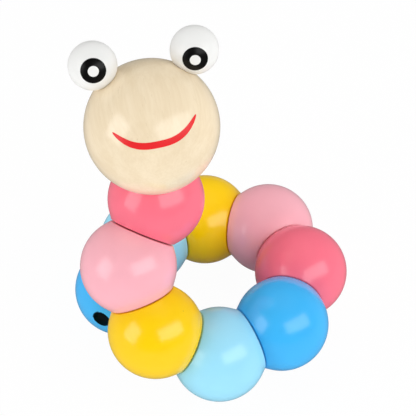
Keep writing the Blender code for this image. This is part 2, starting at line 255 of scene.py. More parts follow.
def bore_cutter(name: str, sides: int, radius: float, depth: float) -> bpy.types.Object:
    """Cylinder round Z to cut a bore with.

    Args:
        name: the object's name.
        sides: sides of the cylinder.
        radius: its radius.
        depth: its whole depth.

    Returns:
        The cylinder, with its middle at the origin.
    """
    deselect_all()
    bpy.ops.mesh.primitive_cylinder_add(vertices=sides, radius=radius, depth=depth)
    return named_active(name)


def spin_round(thing: bpy.types.Object, steps: int) -> None:
    """Spin an object's profile round Z, close the surface and shade it.

    Args:
        thing: the object with the profile.
        steps: steps of the spin.
    """
    enter_edit(thing)
    bpy.ops.mesh.spin(steps=steps, angle=math.tau, center=(0.0, 0.0, 0.0), axis=Z_AXIS)
    close_up(thing)


def half_outline(name: str, radius: float, points: int) -> bpy.types.Object:
    """Right half of a round outline in the XZ plane, left open in edit mode.

    Args:
        name: the object's name.
        radius: the outline's radius.
        points: points of the whole outline.

    Returns:
        The object with the half outline.
    """
    deselect_all()
    quarter_turn = (math.pi / 2.0, 0.0, 0.0)
    bpy.ops.mesh.primitive_circle_add(vertices=points, radius=radius, rotation=quarter_turn)
    thing = named_active(name)
    apply_place(thing)
    enter_edit(thing)
    bisect(Vector(), -X_AXIS, fill=False)
    return thing


def turned_ball(name: str, radius: float, points: int, steps: int) -> bpy.types.Object:
    """Plain ball turned round Z.

    Args:
        name: the object's name.
        radius: the ball's radius.
        points: points of a whole outline.
        steps: steps of the spin.

    Returns:
        The ball, with its centre at the origin.
    """
    thing = half_outline(name, radius, points)
    spin_round(thing, steps)
    return thing


@dataclass(frozen=True)
class Flat:
    """A flat on a ball: a level land, and an eased margin that falls away to a rounded rim."""

    height: float
    radius: float
    land_radius: float
    ease: float
    rim: float


def flatted_ball(name: str, radius: float, flat: Flat, points: int, steps: int) -> bpy.types.Object:
    """Ball turned round Z with a flat on top, which a straight shoulder meets at its rim.

    Args:
        name: the object's name.
        radius: the ball's radius.
        flat: the flat, with its height above the ball's centre.
        points: points of a whole outline.
        steps: steps of the spin.

    Returns:
        The ball, with its centre at the origin.
    """
    thing = half_outline(name, radius, points)
    rim = Vector((flat.radius, 0.0, flat.height - flat.ease))
    # The shoulder is the tangent from the rim to the ball's round outline.
    shoulder = math.atan2(rim.x, rim.z) + math.acos(radius / rim.length)
    start = Vector((radius * math.sin(shoulder), 0.0, radius * math.cos(shoulder)))
    bisect(start, Z_AXIS, fill=False)
    here = select_vertices(thing, lambda place: place.z > start.z - WELD)[0]
    for there in (rim, Vector((flat.land_radius, 0.0, flat.height)), Vector((0.0, 0.0, flat.height))):
        bpy.ops.mesh.extrude_region_move(TRANSFORM_OT_translate={"value": there - here})
        here = there
    select_vertices(thing, lambda place: (place - rim).length < WELD)
    run = flat.rim * math.tan(shoulder / 2.0)
    bpy.ops.mesh.bevel(
        affect="VERTICES", offset_type="OFFSET", offset=run, segments=RIM_SEGMENTS, clamp_overlap=True
    )
    spin_round(thing, steps)
    return thing


def turned_profile(name: str, outline: Outline, steps: int) -> bpy.types.Object:
    """Piece turned round Z from an outline that is drawn by extruding from point to point.

    Args:
        name: the object's name.
        outline: (radius, height) points, which start and end on the axis.
        steps: steps of the spin.

    Returns:
        The turned piece.
    """
    deselect_all()
    bpy.ops.mesh.primitive_plane_add(size=MM)
    thing = named_active(name)
    enter_edit(thing)
    bpy.ops.mesh.merge(type="CENTER")
    bpy.ops.mesh.select_all(action="SELECT")
    reach, height = outline[0]
    bpy.ops.transform.translate(value=(reach, 0.0, height))
    for (x, z), (next_x, next_z) in zip(outline, outline[1:]):
        bpy.ops.mesh.extrude_region_move(TRANSFORM_OT_translate={"value": (next_x - x, 0.0, next_z - z)})
    spin_round(thing, steps)
    return thing


def frame_along(origin: Vector, direction: Vector) -> Matrix:
    """Frame at a point with its Z axis along a direction."""
    return Matrix.Translation(origin) @ Z_AXIS.rotation_difference(direction).to_matrix().to_4x4()


def frame_of(origin: Vector, x_axis: Vector, y_axis: Vector) -> Matrix:
    """Frame at a point with two of its axes given."""
    turn = Matrix((x_axis, y_axis, x_axis.cross(y_axis))).transposed()
    return Matrix.Translation(origin) @ turn.to_4x4()


def remember_place(thing: bpy.types.Object, shift: float, grain: Vector = Z_AXIS) -> None:
    """Store each vertex's place in the plank, in millimetres, for the grain to follow.

    Args:
        thing: the object, before it is moved to its place.
        shift: how far along the plank the piece was cut, in millimetres.
        grain: the grain's direction in the piece, which becomes the place's Z.
    """
    mesh = thing.data
    places = np.empty(len(mesh.vertices) * 3, np.float32)
    mesh.vertices.foreach_get("co", places)
    turn = np.array(grain.rotation_difference(Z_AXIS).to_matrix(), np.float32)
    places = places.reshape(-1, 3) @ turn.T / np.float32(MM) + np.float32(shift)
    mesh.attributes.new(PLACE, "FLOAT_VECTOR", "POINT").data.foreach_set("vector", places.ravel())


def set_in_place(thing: bpy.types.Object, place: Matrix, material: bpy.types.Material) -> None:
    """Move a piece's mesh to its place and give it its material.

    Args:
        thing: the piece, in its own frame.
        place: the piece's frame.
        material: its material.
    """
    thing.data.transform(place)
    thing.data.materials.clear()
    thing.data.materials.append(material)


def fit_to_frame(thing: bpy.types.Object, body: str, slot: Slot, *nodes: str) -> None:
    """Let a piece ride on a body and stand for nodes of the frame.

    Args:
        thing: the piece, at its place.
        body: the body that carries it.
        slot: the record's slot of its finish, which is not used.
        nodes: the nodes that it stands for.
    """
    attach(thing, body)
    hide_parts(*nodes)
    LOG.info("%s rides on %s", thing.name, body)


# Finishes


def linear_colour(srgb: Srgb) -> tuple[float, float, float, float]:
    """Linear colour of an 8-bit sRGB one.

    Args:
        srgb: the 8-bit colour.

    Returns:
        The linear colour, opaque.
    """
    shares = [value / 255.0 for value in srgb]
    linear = [s / 12.92 if s <= 0.04045 else ((s + 0.055) / 1.055) ** 2.4 for s in shares]
    return (linear[0], linear[1], linear[2], 1.0)


class NodeSheet:
    """A node tree with short calls to add and link nodes."""

    def __init__(self, tree: bpy.types.NodeTree) -> None:
        """Start on a tree."""
        self.tree = tree

    def fill(self, node: bpy.types.Node, sockets: dict[str | int, object]) -> None:
        """Set inputs of a node, or link them to other nodes.

        Args:
            node: the node.
            sockets: values of its inputs, or outputs of other nodes to link to them.
        """
        for name, value in sockets.items():
            if isinstance(value, bpy.types.NodeSocket):
                self.tree.links.new(value, node.inputs[name])
            else:
                node.inputs[name].default_value = value

    def add(
        self, kind: str, sockets: dict[str | int, object] | None = None, **settings: object
    ) -> bpy.types.Node:
        """Add a node.

        Args:
            kind: the node's type.
            sockets: values of its inputs, or outputs of other nodes to link to them.
            settings: the node's own properties.

        Returns:
            The new node.
        """
        node = self.tree.nodes.new(kind)
        for name, value in settings.items():
            setattr(node, name, value)
        self.fill(node, sockets or {})
        return node

    def math(self, operation: str, first: object, second: object) -> bpy.types.NodeSocket:
        """Result of a Math node with two values or sockets."""
        return self.add("ShaderNodeMath", {0: first, 1: second}, operation=operation).outputs[0]

    def attribute(self, name: str, output: str) -> bpy.types.NodeSocket:
        """Attribute that a piece's vertices carry."""
        return self.add("ShaderNodeAttribute", attribute_name=name).outputs[output]

    def stretched(self, place: bpy.types.NodeSocket, scale: AxisScale) -> bpy.types.NodeSocket:
        """Place stretched along its axes."""
        return self.add("ShaderNodeMapping", {"Vector": place, "Scale": scale}).outputs["Vector"]

    def noise(self, place: bpy.types.NodeSocket, detail: float, scale: float = 1.0) -> bpy.types.NodeSocket:
        """Noise between 0 and 1."""
        sockets = {"Vector": place, "Scale": scale, "Detail": detail}
        return self.add("ShaderNodeTexNoise", sockets).outputs["Fac"]

    def between(
        self, value: bpy.types.NodeSocket, low: float, high: float, start: object = 0.0, end: object = 1.0
    ) -> bpy.types.NodeSocket:
        """Value mapped smoothly from one range to another."""
        sockets = {"Value": value, "From Min": low, "From Max": high, "To Min": start, "To Max": end}
        return self.add("ShaderNodeMapRange", sockets, interpolation_type="SMOOTHSTEP").outputs["Result"]

    def mixed(self, share: object, first: object, second: object) -> bpy.types.NodeSocket:
        """Colour mixed from two others."""
        return self.add("ShaderNodeMix", {0: share, 6: first, 7: second}, data_type="RGBA").outputs[2]

    def toned(self, colour: object, value: object) -> bpy.types.NodeSocket:
        """Colour made lighter or darker."""
        return self.add("ShaderNodeHueSaturation", {"Color": colour, "Value": value}).outputs["Color"]

    def rays(self) -> tuple[bpy.types.NodeOutputs, bpy.types.NodeSocket]:
        """Kinds of the ray that sees a surface, and whether it was mirrored or let through."""
        seen = self.add("ShaderNodeLightPath").outputs
        return seen, self.math("MAXIMUM", seen["Is Glossy Ray"], seen["Is Transmission Ray"])


def new_material(name: str) -> tuple[bpy.types.Material, NodeSheet, bpy.types.Node]:
    """Material with nodes.

    Args:
        name: the material's name.

    Returns:
        The material, its sheet and its shader.
    """
    material = bpy.data.materials.new(name)
    material.use_nodes = True
    sheet = NodeSheet(material.node_tree)
    return material, sheet, sheet.tree.nodes["Principled BSDF"]


COLOUR = "NodeSocketColor"
VALUE = "NodeSocketFloat"
VECTOR = "NodeSocketVector"
FINISH_OUTPUTS = {"Colour": COLOUR, "Roughness": VALUE, "Height": VALUE}
NOISE_MEAN = 0.5


def new_group(
    name: str, inputs: dict[str, str]
) -> tuple[NodeSheet, bpy.types.NodeOutputs, bpy.types.Node]:
    """Shader node group that puts out a finish's colour, roughness and height.

    Args:
        name: the group's name.
        inputs: socket types by the inputs' names.

    Returns:
        The group's sheet, its inputs as sockets to link from and its output node.
    """
    tree = bpy.data.node_groups.new(name, "ShaderNodeTree")
    for label, kind in inputs.items():
        tree.interface.new_socket(label, in_out="INPUT", socket_type=kind)
    for label, kind in FINISH_OUTPUTS.items():
        tree.interface.new_socket(label, in_out="OUTPUT", socket_type=kind)
    sheet = NodeSheet(tree)
    return sheet, sheet.add("NodeGroupInput").outputs, sheet.add("NodeGroupOutput")


@dataclass(frozen=True)
class BrushedPaint:
    """Group for paint on turned wood: uneven colour, grain below, a few specks, and painted shade inside a
    bore.
    """

    cloud_scale: float = 0.13
    cloud_detail: float = 3.0
    grain_stretch: AxisScale = (0.12, 1.6, 1.6)
    grain_detail: float = 4.0
    grain_share: float = 0.35
    grain_relief: float = 0.45
    peel_scale: float = 0.9
    peel_detail: float = 2.0
    peel_sheen: float = 0.10
    peel_relief: float = 0.55
    speck_scale: float = 0.32
    speck_edge: Span = (0.03, 0.075)
    speck_value: float = 0.62
    bore_shade_value: float = 0.05

    def group(self) -> bpy.types.NodeTree:
        """Build the group.

        Returns:
            The group's node tree.
        """
        inputs = {"Place": VECTOR, "Colour": COLOUR}
        inputs |= {label: VALUE for label in ("Mottle", "Specks", "Roughness", "Inside")}
        sheet, given, finish = new_group("brushed_paint", inputs)
        place = given["Place"]
        cloud = sheet.noise(place, self.cloud_detail, self.cloud_scale)
        grain = sheet.noise(sheet.stretched(place, self.grain_stretch), self.grain_detail)
        peel = sheet.noise(place, self.peel_detail, self.peel_scale)

        layers = sheet.math("ADD", cloud, sheet.math("MULTIPLY", grain, self.grain_share))
        unevenness = sheet.math("SUBTRACT", layers, NOISE_MEAN * (1.0 + self.grain_share))
        value = sheet.math("ADD", 1.0, sheet.math("MULTIPLY", unevenness, given["Mottle"]))
        paint = sheet.toned(given["Colour"], value)

        cells = sheet.add("ShaderNodeTexVoronoi", {"Vector": place, "Scale": self.speck_scale})
        spot = sheet.between(cells.outputs["Distance"], *self.speck_edge, 1.0, 0.0)
        chance = sheet.add("ShaderNodeSeparateColor", {"Color": cells.outputs["Color"]}).outputs["Red"]
        speck = sheet.math("MULTIPLY", spot, sheet.math("LESS_THAN", chance, given["Specks"]))
        outside = sheet.mixed(speck, paint, sheet.toned(paint, self.speck_value))
        # Painted shade: the bore's wall is darkened almost to black, for the shade deep in the tail's hole.
        colour = sheet.mixed(given["Inside"], outside, sheet.toned(paint, self.bore_shade_value))

        sheen = sheet.math("MULTIPLY", sheet.math("SUBTRACT", peel, NOISE_MEAN), self.peel_sheen)
        roughness = sheet.math("ADD", given["Roughness"], sheen)
        fine_relief = sheet.math("MULTIPLY", peel, self.peel_relief)
        relief = sheet.math("ADD", sheet.math("MULTIPLY", grain, self.grain_relief), fine_relief)
        height = sheet.math("SUBTRACT", relief, speck)
        sheet.fill(finish, {"Colour": colour, "Roughness": roughness, "Height": height})
        return sheet.tree


@dataclass(frozen=True)
class WoodGrain:
    """Group for pale wood: growth bands, fibres along the grain and fine darker flecks."""

    band_stretch: AxisScale = (0.25, 0.25, 0.012)
    band_detail: float = 3.0
    band_share: float = 0.6
    fibre_stretch: AxisScale = (1.5, 1.5, 0.05)
    fibre_detail: float = 5.0
    fibre_share: float = 0.4
    tone_edge: Span = (0.34, 0.66)
    fleck_stretch: AxisScale = (2.2, 2.2, 0.28)
    fleck_detail: float = 2.0
    fleck_edge: Span = (0.66, 0.78)
    fleck_share: float = 0.55
    fleck_depth: float = 0.6
    sheen_edge: Span = (0.3, 0.7)
    roughness: Span = (0.46, 0.56)

    def group(self) -> bpy.types.NodeTree:
        """Build the group.

        Returns:
            The group's node tree.
        """
        inputs = {"Place": VECTOR, "Light": COLOUR, "Dark": COLOUR, "Fleck": COLOUR}
        sheet, given, finish = new_group("bare_wood", inputs)
        place = given["Place"]
        bands = sheet.noise(sheet.stretched(place, self.band_stretch), self.band_detail)
        fibres = sheet.noise(sheet.stretched(place, self.fibre_stretch), self.fibre_detail)
        streaks = sheet.noise(sheet.stretched(place, self.fleck_stretch), self.fleck_detail)
        fine = sheet.math("MULTIPLY", fibres, self.fibre_share)
        both = sheet.math("ADD", sheet.math("MULTIPLY", bands, self.band_share), fine)
        tone = sheet.mixed(sheet.between(both, *self.tone_edge), given["Light"], given["Dark"])
        fleck = sheet.between(streaks, *self.fleck_edge)
        colour = sheet.mixed(sheet.math("MULTIPLY", fleck, self.fleck_share), tone, given["Fleck"])
        roughness = sheet.between(fibres, *self.sheen_edge, *self.roughness)
        height = sheet.math("SUBTRACT", fibres, sheet.math("MULTIPLY", fleck, self.fleck_depth))
        sheet.fill(finish, {"Colour": colour, "Roughness": roughness, "Height": height})
        return sheet.tree


@dataclass(frozen=True, kw_only=True)
class CoatedWood:
    """Wood under a clear coat."""

    specular: float = 0.06
    coat: float = 0.9
    coat_roughness: float = 0.2
    relief: float = 0.012 * MM

    def coated(self, name: str, group: bpy.types.NodeTree, inputs: dict[str, object]) -> bpy.types.Material:
        """Put a node group's finish under the coat.

        Args:
            name: the material's name.
            group: the group that gives colour, roughness and height.
            inputs: values of the group's inputs, apart from the marks that a piece's vertices carry.

        Returns:
            The material.
        """
        material, sheet, shader = new_material(name)
        finish = sheet.add("ShaderNodeGroup", inputs, node_tree=group)
        sheet.fill(finish, {"Place": sheet.attribute(PLACE, "Vector")})
        # The tail's bore carries a mark for its painted shade.
        if "Inside" in finish.inputs:
            sheet.fill(finish, {"Inside": sheet.attribute(BORE_SHADE, "Fac")})
        bump = sheet.add("ShaderNodeBump", {"Height": finish.outputs["Height"], "Distance": self.relief})
        sockets = {
            "Base Color": finish.outputs["Colour"],
            "Roughness": finish.outputs["Roughness"],
            "Normal": bump.outputs["Normal"],
            "Specular IOR Level": self.specular,
            "Coat Weight": self.coat,
            "Coat Roughness": self.coat_roughness,
        }
        sheet.fill(shader, sockets)
        return material


@dataclass(frozen=True)
class Paint(CoatedWood):
    """Paint on wood."""

    slot: Slot
    srgb: Srgb
    roughness: float = 0.42
    mottle: float = 0.05
    specks: float = 0.05

    def material(self, group: bpy.types.NodeTree) -> bpy.types.Material:
        """Build the paint's material.

        Args:
            group: the brushed paint's group.

        Returns:
            The material.
        """
        inputs = {
            "Colour": linear_colour(self.srgb),
            "Mottle": self.mottle,
            "Specks": self.specks,
            "Roughness": self.roughness,
        }
        return self.coated(f"paint_{self.slot.value}", group, inputs)


@dataclass(frozen=True, kw_only=True)
class BareWood(CoatedWood):
    """Pale wood under a thin satin varnish."""

    light: Srgb = (246, 228, 197)
    dark: Srgb = (239, 219, 185)
    fleck: Srgb = (220, 197, 158)
    specular: float = 0.12
    coat_roughness: float = 0.16

    def material(self) -> bpy.types.Material:
        """Build the wood's material.

        Returns:
            The material.
        """
        colours = {"Light": self.light, "Dark": self.dark, "Fleck": self.fleck}
        inputs = {label: linear_colour(srgb) for label, srgb in colours.items()}
        return self.coated("bare_wood", WoodGrain().group(), inputs)


@dataclass(frozen=True)
class BraidedElastic:
    """Off-white elastic with a braided cover."""

    light: Srgb = (236, 232, 222)
    # The dark colour is painted shade for the grooves between the strands.
    dark: Srgb = (188, 182, 168)
    strand_stretch: AxisScale = (1.6, 1.6, 1.1)
    strand_edge: Span = (0.1, 0.8)
    roughness: float = 0.85
    relief: float = 0.05 * MM

    def material(self) -> bpy.types.Material:
        """Build the elastic's material: crossing strands that follow the cord, with painted shade in the sunk
        grooves between them.

        Returns:
            The material.
        """
        material, sheet, shader = new_material("braided_elastic")
        place = sheet.stretched(sheet.attribute(PLACE, "Vector"), self.strand_stretch)
        cells = sheet.add("ShaderNodeTexVoronoi", {"Vector": place, "Scale": 1.0}, distance="MANHATTAN")
        strands = cells.outputs["Distance"]
        # Painted shade: the colour darkens towards the strands' edges, where the bump sinks them into
        # grooves.
        share = sheet.between(strands, *self.strand_edge)
        bump = sheet.add("ShaderNodeBump", {"Height": strands, "Distance": -self.relief})
        sockets = {
            "Base Color": sheet.mixed(share, linear_colour(self.light), linear_colour(self.dark)),
            "Roughness": self.roughness,
            "Normal": bump.outputs["Normal"],
        }
        sheet.fill(shader, sockets)
        return material


PAINTS = (
    Paint(Slot.HOT_PINK, (253, 118, 140)),
    Paint(Slot.LIGHT_PINK, (252, 182, 194)),
    Paint(Slot.YELLOW, (255, 210, 0)),
    Paint(Slot.LIGHT_BLUE, (158, 226, 252)),
    Paint(Slot.BLUE, (62, 184, 250)),
    Paint(Slot.WHITE, (240, 240, 238), coat=0.4, coat_roughness=0.25, mottle=0.02, specks=0.0),
    Paint(Slot.BLACK, (10, 9, 9), coat=0.25, coat_roughness=0.25, mottle=0.3, specks=0.0),
    Paint(Slot.RED, (233, 42, 46), coat=0.4, coat_roughness=0.25, mottle=0.06, specks=0.0),
)


class Finishes:
    """The materials by the record's slots."""

    def __init__(self) -> None:
        """Build every material once."""
        group = BrushedPaint().group()
        self.by_slot = {paint.slot: paint.material(group) for paint in PAINTS}
        self.by_slot[Slot.NATURAL_WOOD] = BareWood().material()
        self.by_slot[Slot.ELASTIC] = BraidedElastic().material()

    def __getitem__(self, slot: Slot) -> bpy.types.Material:
        """Material of one slot."""
        return self.by_slot[slot]


# Places from the frame


def node_places(frame: dict, node: str) -> np.ndarray:
    """Vertex places of a node of the frame.

    Args:
        frame: the loaded frame.
        node: the node's name.

    Returns:
        The places, one row each.
    """
    vertices = frame["nodes"][node].data.vertices
    places = np.empty(len(vertices) * 3, np.float32)
    vertices.foreach_get("co", places)
    return places.reshape(-1, 3)


def box_middle(node: str) -> Vector:
    """Middle of a node's box."""
    low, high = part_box(node)
    return (low + high) / 2.0


def ball_body(index: int) -> str:
    """Body of a ball, by its place in the chain from 1 at the head."""
    return f"bead_{index:02d}"


def cord_node(index: int) -> str:
    """Node of the cord's stretch in a ball."""
    return f"cord_{index:02d}"


@dataclass(frozen=True)
class Contact:
    """Middle of the touching flats of two neighbours, and the direction towards the tail there."""

    place: Vector
    normal: Vector


class Chain:
    """Contacts and ball frames, from the head to the tail."""

    def __init__(self, joints: list[dict]) -> None:
        """Read the contacts from the twist joints.

        Args:
            joints: the frame's joints, from the head's to the tail's.
        """
        self.contacts = [Contact(Vector(j["pos_m"]), Vector(j["axis"]).normalized()) for j in joints]
        self.wedge_count = len(self.contacts) - 1
        before, after = self.contacts[1], self.contacts[2]
        spread = before.normal + after.normal
        self.face_offset = (after.place - before.place).length / spread.length
        self.half_wedge = before.normal.angle(after.normal) / 2.0

    def ball_frame(self, index: int) -> Matrix:
        """Frame of a wedge ball: X along its bore towards the tail, Y towards its narrow side.

        Args:
            index: the ball's place in the chain, from 1 at the head.

        Returns:
            The ball's frame.
        """
        before, after = self.contacts[index - 1], self.contacts[index]
        centre = after.place - after.normal * self.face_offset
        along = (before.normal + after.normal).normalized()
        narrow = (after.normal - before.normal).normalized()
        return frame_of(centre, along, narrow)


# Pieces


@dataclass
class WedgeBalls:
    """The lacquered balls with two flats."""

    chain: Chain
    finishes: Finishes
    radius: float = 14.0 * MM
    face_radius: float = 9.75 * MM
    land_radius: float = 7.6 * MM
    ease: float = 0.18 * MM
    rim: float = 0.45 * MM
    flat_gap: float = 0.08 * MM
    bore_radius: float = 1.65 * MM
    outline_points: int = 180
    spin_steps: int = 96
    bore_sides: int = 48
    plank_step: float = 37.0
    colours: tuple[Slot, ...] = (Slot.HOT_PINK, Slot.LIGHT_PINK, Slot.YELLOW, Slot.LIGHT_BLUE, Slot.BLUE)

    @cached_property
    def flat_height(self) -> float:
        """Height of a flat above the ball's centre."""
        return self.chain.face_offset - self.flat_gap / 2.0

    @cached_property
    def tail_normal(self) -> Vector:
        """Normal of the tail-side flat in the ball's frame."""
        return Vector((math.cos(self.chain.half_wedge), math.sin(self.chain.half_wedge), 0.0))

    @cached_property
    def bore_line(self) -> Matrix:
        """Frame along the bore, which joins the middles of the flats."""
        height = self.chain.face_offset * math.sin(self.chain.half_wedge)
        return frame_along(Vector((0.0, height, 0.0)), X_AXIS)

    def flat_at(self, height: float) -> Flat:
        """Flat of the body's size at a height above a ball's centre."""
        return Flat(height, self.face_radius, self.land_radius, self.ease, self.rim)

    def flatted(self, name: str) -> bpy.types.Object:
        """Ball of the body's size with one flat on top, and its centre at the origin."""
        flat = self.flat_at(self.flat_height)
        return flatted_ball(name, self.radius, flat, self.outline_points, self.spin_steps)

    def model(self) -> bpy.types.Object:
        """Model one wedge ball: a flatted ball, cut at its middle, mirrored and bored.

        Returns:
            The ball, in its own frame.
        """
        ball = self.flatted("wedge_ball")
        ball.matrix_world = frame_along(Vector(), self.tail_normal)
        apply_place(ball)
        mirror = ball.modifiers.new("other_half", "MIRROR")
        mirror.use_bisect_axis[0] = True
        mirror.bisect_threshold = WELD
        mirror.merge_threshold = WELD
        apply_modifier(ball, mirror)
        right_through = 4.0 * self.radius
        bore = bore_cutter("wedge_bore", self.bore_sides, self.bore_radius, right_through)
        bore.matrix_world = self.bore_line
        cut_with(ball, bore)
        shade(ball)
        return ball

    def dress(self, ball: bpy.types.Object, index: int, place: Matrix) -> None:
        """Colour a ball by its place in the chain, and set it there.

        Args:
            ball: the ball, in its own frame.
            index: its place in the chain, from 1 at the head.
            place: its frame.
        """
        slot = self.colours[(index - 1) % len(self.colours)]
        body = ball_body(index)
        ball.name = f"lacquered_ball_{index:02d}"
        remember_place(ball, self.plank_step * index)
        set_in_place(ball, place, self.finishes[slot])
        fit_to_frame(ball, body, slot, f"{body}_{slot.value}")

    def build(self) -> None:
        """Make the balls from the head's neighbour on, as copies of one model."""
        master = self.model()
        for index in range(1, self.chain.wedge_count + 1):
            ball = master.copy()
            ball.data = master.data.copy()
            bpy.context.scene.collection.objects.link(ball)
            self.dress(ball, index, self.chain.ball_frame(index))
        bpy.data.objects.remove(master, do_unlink=True)


@dataclass
class TailBall:
    """The last ball: one flat, a round end and the hole that hides the cord's knot."""

    chain: Chain
    balls: WedgeBalls
    frame: dict
    hole_radius: float = 2.8 * MM
    hole_depth: float = 8.0 * MM
    mouth_rounding: float = 0.35 * MM
    rounding_steps: int = 5

    @cached_property
    def index(self) -> int:
        """The ball's place in the chain."""
        return self.chain.wedge_count + 1

    @cached_property
    def contact(self) -> Contact:
        """Contact with the ball before."""
        return self.chain.contacts[-1]

    @cached_property
    def centre(self) -> Vector:
        """The ball's centre."""
        return self.contact.place + self.contact.normal * self.chain.face_offset

    @cached_property
    def bore_line(self) -> Matrix:
        """Frame at the flat's middle with Z along the bore, towards the hole's mouth.

        Returns:
            The frame, along the line to the far end of the frame's cord.
        """
        reaches = node_places(self.frame, cord_node(self.index)) - np.array(self.contact.place)
        farthest = reaches[np.argmax(np.linalg.norm(reaches, axis=1))]
        return frame_along(self.contact.place, Vector(farthest.tolist()).normalized())

    @cached_property
    def mouth(self) -> float:
        """Distance along the bore from the flat's middle to the ball's surface.

        Returns:
            The distance, where the bore's line leaves the ball.
        """
        run = self.bore_line.to_3x3() @ Z_AXIS
        start = self.contact.place - self.centre
        inward = -start.dot(run)
        return inward + math.sqrt(inward**2 + self.balls.radius**2 - start.length_squared)

    @cached_property
    def ledge(self) -> float:
        """Distance along the bore from the flat's middle to the ledge that holds the knot."""
        return self.mouth - self.hole_depth

    def bore_outline(self) -> Outline:
        """Outline of the bore: narrow from the flat, wide for the knot, rounded at its mouth.

        Returns:
            (radius, height) points along the bore's line.
        """
        lip = self.mouth - self.mouth_rounding
        outside = self.mouth + self.balls.radius
        narrow = self.balls.bore_radius
        flared = self.hole_radius + self.mouth_rounding
        rounding = []
        for step in range(1, self.rounding_steps + 1):
            angle = math.pi / 2.0 * step / self.rounding_steps
            reach = flared - self.mouth_rounding * math.cos(angle)
            rounding.append((reach, lip + self.mouth_rounding * math.sin(angle)))
        return [
            (0.0, -self.balls.radius),
            (narrow, -self.balls.radius),
            (narrow, self.ledge),
            (self.hole_radius, self.ledge),
            (self.hole_radius, lip),
            *rounding,
            (flared, outside),
            (0.0, outside),
        ]

    def mark_painted_bore_shade(self, ball: bpy.types.Object, to_bore: Matrix) -> None:
        """Mark the vertices of the bore's wall, which get painted shade.

        Args:
            ball: the bored ball, in its own frame.
            to_bore: the ball's frame as the bore's frame sees it.
        """
        marks = ball.data.attributes.new(BORE_SHADE, "FLOAT", "POINT")
        for vertex, mark in zip(ball.data.vertices, marks.data):
            reach = (to_bore @ vertex.co).to_2d().length
            mark.value = float(reach < self.hole_radius + WELD)

    def build(self) -> None:
        """Turn the ball, bore it and set it at the end of the chain."""
        place = frame_along(self.centre, -self.contact.normal)
        ball = self.balls.flatted("tail_ball")
        bore = turned_profile("tail_bore", self.bore_outline(), self.balls.bore_sides)
        bore.matrix_world = place.inverted() @ self.bore_line
        cut_with(ball, bore)
        shade(ball)
        self.mark_painted_bore_shade(ball, self.bore_line.inverted() @ place)
        self.balls.dress(ball, self.index, place)


